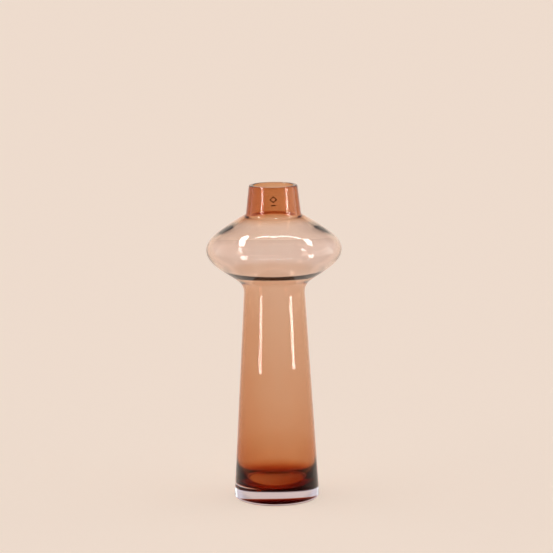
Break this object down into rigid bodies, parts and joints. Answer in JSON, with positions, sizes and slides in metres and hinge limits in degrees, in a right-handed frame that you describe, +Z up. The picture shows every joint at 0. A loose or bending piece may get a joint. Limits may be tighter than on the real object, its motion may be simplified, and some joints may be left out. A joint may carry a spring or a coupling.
{
  "type": "glass bud vase",
  "caption": "Tall cased-glass bud vase: tapering stem, a lens-shaped hollow bulb, short open neck, thick clear foot under an amber lining.",
  "frame": {"origin": "centre of the flat underside of the foot, on the surface the vase stands on", "axes": "+Z up along the vase's own axis to the mouth; +Y towards the back, where the small label sits on the neck; +X to the right"},
  "size_m": [0.1188, 0.1188, 0.28],
  "materials": {
    "clear_glass": "fire-polished clear glass with a faint lilac tint, ground and polished under the foot",
    "amber_glass": "transparent amber glass, pale where it is thin in the bulb and red-brown where it is thick at the bottom",
    "label_film": null
  },
  "bodies": {
    "root": {"clear_casing": "clear_glass", "amber_lining": "amber_glass", "neck_label": "label_film"}
  },
  "joints": []
}
